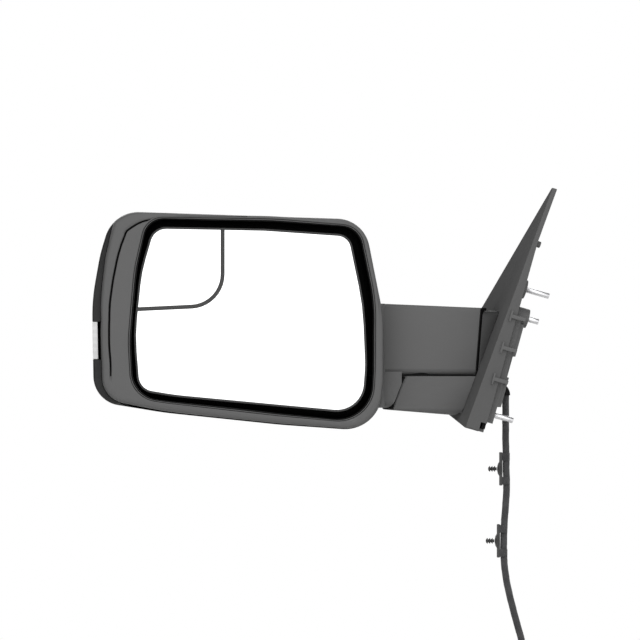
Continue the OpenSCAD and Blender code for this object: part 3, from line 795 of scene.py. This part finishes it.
# From inside the mouth outwards: the bead, the fine line beside it and the start of the face
mouth_section = [(1.2, 10.0), (1.2, 1.5), (1.12, 0.95), (0.9, 0.65), (0.6, 0.6), (0.35, 0.8), (0.2, 1.3),
                 (0.1, 1.9), (-0.15, 1.9), (-0.3, 1.1), (-0.5, 0.4), (-0.9, 0.08), (-1.6, 0.0)]
rings = []
for inner, depth in mouth_section:
    rings.append([(mouth_reach[k] - inner, lip_y + depth) for k in range(around)])

# Across the groove, then from the border to the outer edge and its skirt
groove_section = [(2.1, 0.0), (1.45, 0.05), (1.15, 0.5), (0.75, 2.2), (0.3, 4.4),
                  (-0.3, 4.4), (-0.7, 2.2), (-1.05, 0.5), (-1.35, 0.05)]
edge_section = [(0.72, 0.1), (0.50, 0.25), (0.30, 0.6), (0.18, 1.2), (0.10, 2.2),
                (0.05, 3.8), (0.02, 6.5), (0.0, 10.0), (0.0, 29.6)]
wall = 2.6
for across, depth in groove_section:
    ring = []
    for k in range(around):
        r = bezel_reach[k] - border[k] - across
        r = max(r, mouth_reach[k] + 1.7 + 0.02 * (2 - across))
        ring.append((r, lip_y + depth * groove_depth[k]))
    rings.append(ring)
for share, depth in edge_section:
    rings.append([(bezel_reach[k] - border[k] * share, lip_y + depth) for k in range(around)])
for depth in (29.6, 14.0):
    rings.append([(bezel_reach[k] - wall, lip_y + depth) for k in range(around)])
bezel = loft("bezel_moulding", rings, closed=True)
add_material(bezel, grey_plastic)
bezel.data.materials.append(black_plastic_and_painted_shade)
# Painted shade: the fine line's faces, and the groove's where it is deep enough, take the black material for
# the shade inside them
fine_line_rings = range(6, 9)
groove_rings = range(15, 19)
deep_enough = 0.35
for face in bezel.data.polygons:
    ring, k = divmod(face.index, around)
    if ring in fine_line_rings or (ring in groove_rings and groove_depth[k] > deep_enough):
        face.material_index = 1
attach(bezel, "head")
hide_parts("bezel")

# ---------------------------------------------------------------- recess liner
# A black funnel between the bezel and the glass, moulded with a rolled front edge. Its wall
# leans in a little towards the back, and its floor has a round opening for the actuator.
wall_section = [(1.3, 12.0), (1.35, 3.6), (1.6, 3.1), (2.0, 3.1), (2.4, 3.6), (2.65, 4.8), (2.7, 12.0),
                (2.8, 30.0), (3.4, 44.0), (5.0, 48.2), (9.0, 49.8)]
rings = []
for inner, depth in wall_section:
    rings.append([(mouth_reach[k] - inner, lip_y + depth) for k in range(around)])
actuator_hole = 51.0
for share in (0.5, 0.0):
    ring = []
    for k in range(around):
        floor_wide = mouth_reach[k] - 9 - actuator_hole
        ring.append((actuator_hole + floor_wide * share, lip_y + 50))
    rings.append(ring)
rings.append([(actuator_hole, lip_y + 52.4)] * around)
rings.append([(mouth_reach[k] - 4, lip_y + 52.4) for k in range(around)])
rings.append([(mouth_reach[k] - 0.25, lip_y + 48.0) for k in range(around)])
liner = add_material(loft("recess_liner", rings, closed=True), black_plastic_and_painted_shade)
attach(liner, "head")
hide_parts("liner")

# ---------------------------------------------------------------- front cap
# One large grained shell over the back of the head. Its edge laps the bezel on the outboard
# side, where the lamp is let in, and the nose is gently domed.
cap_plastic = moulded_plastic("cap_moulding", grey(0.012), grey(0.017), grey(0.03), 1500.0, 0.00003, 0.35)
seam_gap = 0.4
cap_thick = 3.0
cap_section = [(0.0, seam_y + seam_gap), (0.0, -24.0), (0.0, -8.0), (0.15, 4.0), (0.9, 13.0),
               (2.6, 19.5), (5.4, 25.6), (9.4, 31.2), (14.4, 36.3), (20.4, 40.8), (27.4, 44.6),
               (35.4, 47.7), (44.0, 50.0), (52.0, 51.4)]
rings = []
for inset, y in cap_section:
    shape = head_reach if inset < 0.05 else reach(rounded(moved_in(head_corners, inset, 12)))
    rings.append([(r, y) for r in shape])
last_reach = [r for r, y in rings[-1]]
dome_from = cap_section[-1][1]
dome_rise = 2.2
for share in (0.86, 0.7, 0.52, 0.34, 0.17, 0.05):
    rings.append([(r * share, dome_from + dome_rise * (1 - share * share)) for r in last_reach])
for repeat in range(2):
    for ring in rings[2:]:
        smooth = []
        for k in range(around):
            near = 2 * ring[k - 1][0] + 3 * ring[k][0] + 2 * ring[(k + 1) % around][0]
            far = ring[k - 2][0] + ring[(k + 2) % around][0]
            smooth.append((near + far) / 9)
        for k in range(around):
            ring[k] = (smooth[k], ring[k][1])
skin = loft("cap_skin", rings, cap_end=True)
inner_rings = [[(r - cap_thick, seam_y + seam_gap) for r in head_reach]]
for ring in rings[1:]:
    inner_rings.append([(max(r - cap_thick, 1.0), y - (cap_thick if y > 20 else 0.0)) for r, y in ring])
inside = loft("cap_inside", inner_rings, cap_end=True)
rim = loft("cap_rim", [rings[0], inner_rings[0]])

# The edge that laps the bezel outboard: a strip from the top corner to the bottom one
lap_from = -386
lap_fade = 10.0
wing = []
lap_wide = []
for k in range(around):
    a = 2 * math.pi * k / around
    x = middle.x + head_reach[k] * math.cos(a)
    wing.append(ease((lap_from - x) / lap_fade))
    lap_wide.append(max(head_reach[k] - bezel_reach[k] - 0.5, 0.3))


def lap_depth(k, back):
    return seam_y + seam_gap + (back - 0.6) * wing[k]


wing_rings = []
for back, out in ((0.6, 0.0), (-6.0, 0.0), (-14.0, 0.0), (-16.6, -0.5), (-17.8, -1.6)):
    ring = []
    for k in range(around):
        ring.append((head_reach[k] + max(out, -0.7 * lap_wide[k]) * wing[k], lap_depth(k, back)))
    wing_rings.append(ring)
for back in (-17.6, -2.0, 2.0):
    ring = []
    for k in range(around):
        inward = lap_wide[k] * wing[k] if back < 0 else cap_thick
        ring.append((head_reach[k] - inward, lap_depth(k, back)))
    wing_rings.append(ring)
lap = loft("cap_lap", wing_rings)
cap = join("front_cap_shell", [skin, inside, rim, lap])


def cut_away(piece, low, high):
    """Takes the faces inside a block away, with the mesh cut along the block's sides first."""
    mesh = bmesh.new()
    mesh.from_mesh(piece.data)
    low = Vector(low) * mm
    high = Vector(high) * mm
    for axis in range(3):
        for limit in (low[axis], high[axis]):
            normal = Vector((0, 0, 0))
            normal[axis] = 1
            everything = mesh.verts[:] + mesh.edges[:] + mesh.faces[:]
            bmesh.ops.bisect_plane(mesh, geom=everything, plane_co=normal * limit, plane_no=normal)
    gone = []
    for face in mesh.faces:
        centre = face.calc_center_median()
        if all(low[i] <= centre[i] <= high[i] for i in range(3)):
            gone.append(face)
    bmesh.ops.delete(mesh, geom=gone, context="FACES")
    mesh.to_mesh(piece.data)
    mesh.free()


lamp_opening = ((-440, -60, 0.6), (-404, -19.6, 40.4))
arm_opening = ((-125, -24, -10), (-105, 24, 48))
for low, high in (lamp_opening, arm_opening):
    cut_away(cap, low, high)
add_material(even_shading(cap, 50), cap_plastic)
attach(cap, "head")
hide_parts("front_cap")

# ---------------------------------------------------------------- sail plate
# The tall triangular cover against the door, a grained moulding clipped over the bracket.
# Square sided parts like it keep the shape of their solids, with each edge rounded the way a
# mould leaves it.
arm_half = 28 * mm


def softened(node, material, body, width, segments=3, flat=False, big_edges=None):
    """The solid of a node with rounded edges. big_edges is (low z, high z, radius) for the long
    edges of the arm's box section that are rounded more than the rest."""
    weld = 0.01 * mm
    flat_turn = math.radians(0.8)
    edge_turn = math.radians(28)
    section_side = arm_half - 0.3 * mm
    long_enough = 8 * mm
    mesh = bmesh.new()
    mesh.from_mesh(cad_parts[node].data)
    bmesh.ops.remove_doubles(mesh, verts=mesh.verts, dist=weld)
    bmesh.ops.dissolve_limit(mesh, angle_limit=flat_turn, verts=mesh.verts, edges=mesh.edges)
    if big_edges:
        low, high, radius = (value * mm for value in big_edges)
        chosen = []
        for line in mesh.edges:
            a, b = (v.co for v in line.verts)
            outside = min(abs(a.y), abs(b.y)) > section_side
            within = low < min(a.z, b.z) and max(a.z, b.z) < high
            if outside and within and abs(a.x - b.x) > long_enough:
                chosen.append(line)
        bmesh.ops.bevel(mesh, geom=chosen, offset=radius, segments=8, profile=0.5, affect="EDGES")
    data = bpy.data.meshes.new(node + "_finish")
    mesh.to_mesh(data)
    mesh.free()
    piece = bpy.data.objects.new(node + "_finish", data)
    bpy.context.scene.collection.objects.link(piece)
    for face in data.polygons:
        face.use_smooth = not flat
    edge = piece.modifiers.new("edges", "BEVEL")
    edge.width = width * mm
    edge.segments = segments
    edge.limit_method = "ANGLE"
    edge.angle_limit = edge_turn
    edge.harden_normals = not flat
    edge.use_clamp_overlap = True
    add_material(piece, material)
    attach(piece, body)
    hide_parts(node)


sail_plastic = moulded_plastic("sail_moulding", grey(0.118), grey(0.126), grey(0.14), 700.0, 0.000006, 0.0)
softened("sail_cover", sail_plastic, "door_base", 0.9)

# ---------------------------------------------------------------- base bracket
# The alloy casting that bolts to the door and carries the arm. It is painted dark grey to
# match the plastic, and its ribs and bosses show behind the sail plate.
bracket_paint = moulded_plastic(
    "painted_casting", grey(0.105), grey(0.118), grey(0.15), 700.0, 0.00008, 0.4)
softened("base_bracket", bracket_paint, "door_base", 1.2)

# ---------------------------------------------------------------- cover snaps and locating peg
# Snaps of the same grained plastic hold the covers to the bracket, and a short peg near the
# top of the sail plate finds its hole in the door.
softened("cover_snaps", grey_plastic, "door_base", 0.35, 2)
softened("locating_peg", grey_plastic, "door_base", 0.7)

# ---------------------------------------------------------------- mounting studs
# Three steel studs pressed into the bracket's bosses, turned and then plated bright zinc.
# The metal has streaks left by turning or rolling, and clouds where the plating is dull.
streaks, streaks_in, streaks_out = node_group(
    "metal_streaks", [("Fine", 900.0)], [("Streak", "NodeSocketFloat"), ("Dull", "NodeSocketFloat")])
where = put(streaks, "ShaderNodeTexCoord")
stretch = put(streaks, "ShaderNodeMapping")
stretch.inputs["Scale"].default_value = (1.0, 1.0, 0.06)
streaks.links.new(where.outputs["Object"], stretch.inputs["Vector"])
lines = put(streaks, "ShaderNodeTexNoise")
lines.inputs["Detail"].default_value = 4
streaks.links.new(stretch.outputs["Vector"], lines.inputs["Vector"])
streaks.links.new(streaks_in.outputs["Fine"], lines.inputs["Scale"])
streaks.links.new(lines.outputs["Fac"], streaks_out.inputs["Streak"])
patches = put(streaks, "ShaderNodeTexNoise")
patches.inputs["Scale"].default_value = 60
patches.inputs["Detail"].default_value = 4
streaks.links.new(where.outputs["Object"], patches.inputs["Vector"])
streaks.links.new(patches.outputs["Fac"], streaks_out.inputs["Dull"])


def bare_metal(name, dark, light, smooth, rough):
    """Metal with fine streaks; its shine runs from smooth to rough in clouds."""
    made, tree, shader = new_material(name)
    marks = use_group(tree, streaks, Fine=900.0)
    tint(tree, shader, marks.outputs["Streak"], dark, light)
    shine = put(tree, "ShaderNodeMapRange")
    shine.inputs["To Min"].default_value = smooth
    shine.inputs["To Max"].default_value = rough
    tree.links.new(marks.outputs["Dull"], shine.inputs["Value"])
    tree.links.new(shine.outputs["Result"], shader.inputs["Roughness"])
    shader.inputs["Metallic"].default_value = 1.0
    bumped(tree, shader, marks.outputs["Streak"], 0.00001, 0.6)
    return made


zinc = bare_metal("zinc_plate", (0.80, 0.80, 0.82), (0.92, 0.92, 0.93), 0.24, 0.42)
softened("mounting_studs", zinc, "door_base", 0.5, 2)

# ---------------------------------------------------------------- harness boot
# The elbow of soft black rubber that the harness leaves the bracket through. Its skin has a
# dull bloom, as moulded rubber gets.
# The same black material is also used for the painted shade skins in the fold joint's gaps
rubber_and_painted_shade, tree, shader = new_material("seal_rubber")
bloom = use_group(tree, grain, Size=900.0, Cloud=26.0)
tint(tree, shader, bloom.outputs["Cloudiness"], grey(0.006), grey(0.011))
bumped(tree, shader, bloom.outputs["Height"], 0.00003)
shader.inputs["Roughness"].default_value = 0.82
shader.inputs["Specular IOR Level"].default_value = 0.2
softened("harness_boot", rubber_and_painted_shade, "door_base", 0.4, 2)

# ---------------------------------------------------------------- foot cover and base fairing
# Two grained mouldings that close the door side of the fold joint: the foot under the arm, with
# its long lower edges well rounded, and the fairing between the foot and the sail plate.
softened("foot_cover", grey_plastic, "door_base", 0.8, big_edges=(-75, -40, 9))
# Painted shade: the fairing takes a darker copy of the grey plastic, standing in for the shade in its hollow
painted_shade_plastic = moulded_plastic(
    "fairing_painted_shade", grey(0.034), grey(0.042), grey(0.06), 1500.0, 0.00002, 0.2)
softened("base_fairing", painted_shade_plastic, "door_base", 1.6)

# ---------------------------------------------------------------- arm and its root
# The box section cover over the arm, and the root that closes the seam where the arm goes into
# the head. Both are the grained plastic and turn with the head.
softened("arm_cover", grey_plastic, "head", 0.8, big_edges=(45, 80, 5))
root_half = 27.8
cheek_inner = 17
root_parts = [rounded_box("root_top", (-122, -root_half, -15.6), (-113.6, root_half, 59.2), 0.8)]
for side in (-1, 1):
    low, high = sorted((side * cheek_inner, side * root_half))
    root_parts.append(rounded_box("root_cheek", (-124.8, low, -50), (-113.9, high, -14), 0.6))
arm_root = add_material(even_shading(join("arm_root", root_parts)), grey_plastic)
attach(arm_root, "head")

# ---------------------------------------------------------------- fold gap painted shade
# Thin black skins in the gaps of the fold joint: painted shade for the dark inside the gaps, which also
# stops light coming through them. One is on the round end of the arm, one on the round end of the foot, and
# two flat rings are under the arm.
fold_x = -76
shade_skin_half = 27.4
arm_end_radius = 63.2
foot_end_radius = 31


def skin_round_fold(name, body, rows, side):
    """A skin about the fold axis; each row is (inner radius, outer radius, height)."""
    steps = 48
    points = []
    for inner, outer, z in rows:
        turn = math.asin(min(1.0, shade_skin_half / outer))
        for radius in (inner, outer):
            for k in range(steps + 1):
                a = turn * (2 * k / steps - 1)
                x = fold_x + side * radius * math.cos(a)
                points.append(Vector((x, radius * math.sin(a), z)) * mm)
    wide = steps + 1
    faces = []
    for i in range(len(rows) - 1):
        for face in (0, 1):
            for k in range(steps):
                a = (2 * i + face) * wide + k
                faces.append((a, a + 1, a + 1 + 2 * wide, a + 2 * wide))
        for k in (0, steps):
            a = 2 * i * wide + k
            faces.append((a, a + wide, a + 3 * wide, a + 2 * wide))
    for i in (0, len(rows) - 1):
        for k in range(steps):
            a = 2 * i * wide + k
            faces.append((a, a + 1, a + 1 + wide, a + wide))
    piece = add_material(even_shading(link_mesh(name, points, faces)), rubber_and_painted_shade)
    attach(piece, body)


parting_z = -16
arm_rows = 12
arm_shade_rows = []
for i in range(arm_rows):
    z = -15.4 + 70 * i / (arm_rows - 1)
    radius = arm_end_radius + 0.072 * (z - parting_z)
    arm_shade_rows.append((radius - 0.4, radius + 0.8, z))
skin_round_fold("arm_end_shade_skin", "head", arm_shade_rows, 1)

foot_rows = 8
foot_shade_rows = []
for i in range(foot_rows):
    z = -17.4 - 33.6 * i / (foot_rows - 1)
    radius = foot_end_radius - 0.25 * (z - parting_z)
    foot_shade_rows.append((radius - 0.4, radius + 0.5, z))
skin_round_fold("foot_end_shade_skin", "door_base", foot_shade_rows, -1)


def clamped_ring(name, inner, outer, low, high, half):
    """A flat ring about the fold axis that rides on the head, cut off square at front and back."""
    steps = 96
    points = []
    for z in (low, high):
        for radius in (inner, outer):
            for k in range(steps):
                a = 2 * math.pi * k / steps
                y = max(-half, min(half, radius * math.sin(a)))
                points.append(Vector((fold_x + radius * math.cos(a), y, z)) * mm)
    faces = []
    for k in range(steps):
        n = (k + 1) % steps
        for a, b in ((0, 1), (2, 3), (1, 3), (0, 2)):
            faces.append((k + a * steps, n + a * steps, n + b * steps, k + b * steps))
    piece = add_material(even_shading(link_mesh(name, points, faces)), rubber_and_painted_shade)
    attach(piece, "head")


# Painted shade: black flat rings under the arm stand for the dark parting line and the gap round the hub
clamped_ring("parting_shade_ring", 21.3, 61.5, -16.7, -16.0, shade_skin_half)
clamped_ring("hub_shade_ring", 21.4, 25.9, -16.1, -10.5, 24.0)

# ---------------------------------------------------------------- lamp lens
# The clear lens of the side lamp, let into the outboard end of the cap. It is drawn as an opaque pale grey
# gloss moulding with fine level ribs; the pale reflector behind it is not built.
lens_shell, tree, shader = new_material("lamp_lens")
ribs = put(tree, "ShaderNodeTexWave", bands_direction="Z")
ribs.inputs["Scale"].default_value = 42
where = put(tree, "ShaderNodeTexCoord")
tree.links.new(where.outputs["Object"], ribs.inputs["Vector"])
tint(tree, shader, ribs.outputs["Fac"], grey(0.70), grey(0.76))
bumped(tree, shader, ribs.outputs["Fac"], 0.0001, 0.5)
shader.inputs["Roughness"].default_value = 0.12
shader.inputs["Coat Weight"].default_value = 1.0
shader.inputs["Coat Roughness"].default_value = 0.04
softened("signal_lens", lens_shell, "head", 0.5, 3)

# ---------------------------------------------------------------- glass rim and glasses
# The main glass and the spotter in its upper outboard corner are silvered glass. One dark
# grained rim holds both to the carrier, with a rib between them.
rim_plastic = moulded_plastic("rim_moulding", grey(0.055), grey(0.065), grey(0.10), 1500.0, 0.00002, 0.3)
softened("glass_rim", rim_plastic, "glass", 0.35, 2)

mirror, tree, shader = new_material("silvered_glass")
film = put(tree, "ShaderNodeTexNoise")
film.inputs["Scale"].default_value = 9
film.inputs["Detail"].default_value = 3
where = put(tree, "ShaderNodeTexCoord")
tree.links.new(where.outputs["Object"], film.inputs["Vector"])
tint(tree, shader, film.outputs["Fac"], (0.93, 0.94, 0.945), (0.955, 0.96, 0.962))
shader.inputs["Metallic"].default_value = 1.0
shader.inputs["Roughness"].default_value = 0.02
shader.inputs["Coat Weight"].default_value = 0.6
shader.inputs["Coat Roughness"].default_value = 0.01
softened("main_glass", mirror, "glass", 0.4, 2, flat=True)
softened("spotter_glass", mirror, "glass", 0.4, 2, flat=True)

# ---------------------------------------------------------------- works inside
# What sits behind the covers keeps its exact solids and takes a finish of its own: turned
# steel, spring wire, plain black mouldings, waxy acetal gears and screws, a lacquered circuit
# board and the heater film glued to the back of the glass.
inner_plastic = moulded_plastic(
    "inner_moulding", grey(0.02), grey(0.028), grey(0.06), 1300.0, 0.00003, 0.3)
steel = bare_metal("turned_steel", (0.40, 0.40, 0.41), (0.56, 0.56, 0.57), 0.22, 0.4)
dark_steel = bare_metal("spring_wire", (0.10, 0.10, 0.11), (0.18, 0.18, 0.19), 0.3, 0.5)

acetal, tree, shader = new_material("acetal")
wax = use_group(tree, grain, Size=500.0, Cloud=40.0)
tint(tree, shader, wax.outputs["Cloudiness"], (0.62, 0.61, 0.56), (0.72, 0.71, 0.66))
bumped(tree, shader, wax.outputs["Height"], 0.00001)
shader.inputs["Roughness"].default_value = 0.32
shader.inputs["Subsurface Weight"].default_value = 0.15
shader.inputs["Subsurface Radius"].default_value = (0.002, 0.002, 0.0016)

board, tree, shader = new_material("circuit_board")
lacquer = use_group(tree, grain, Size=700.0, Cloud=90.0)
tint(tree, shader, lacquer.outputs["Cloudiness"], (0.01, 0.09, 0.035), (0.02, 0.16, 0.06))
bumped(tree, shader, lacquer.outputs["Height"], 0.00001)
shader.inputs["Roughness"].default_value = 0.3
shader.inputs["Coat Weight"].default_value = 0.5

film_heat, tree, shader = new_material("heater_film")
tracks = put(tree, "ShaderNodeTexWave", bands_direction="Z")
tracks.inputs["Scale"].default_value = 60
where = put(tree, "ShaderNodeTexCoord")
tree.links.new(where.outputs["Object"], tracks.inputs["Vector"])
tint(tree, shader, tracks.outputs["Fac"], (0.20, 0.09, 0.02), (0.42, 0.22, 0.06))
shader.inputs["Roughness"].default_value = 0.4

inner_finish = {
    "door_gasket": rubber_and_painted_shade, "base_screws": zinc, "pivot_post": steel, "lower_detent_ring": steel,
    "fold_spring": dark_steel, "spring_seat": zinc, "post_nut": zinc, "base_harness": tape,
    "head_frame": bracket_paint, "upper_detent_ring": steel, "signal_housing": inner_plastic,
    "signal_board": board, "actuator_body": inner_plastic, "actuator_cover": inner_plastic,
    "tilt_motor": steel, "pan_motor": steel, "ball_stud": steel, "head_harness": tape,
    "frame_screws": zinc, "tilt_nut_gear": acetal, "pan_nut_gear": acetal,
    "tilt_jack_screw": acetal, "pan_jack_screw": acetal, "gimbal_ring": acetal,
    "glass_carrier": inner_plastic, "heater_pad": film_heat,
}
for node, finish in inner_finish.items():
    add_material(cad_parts[node], finish)
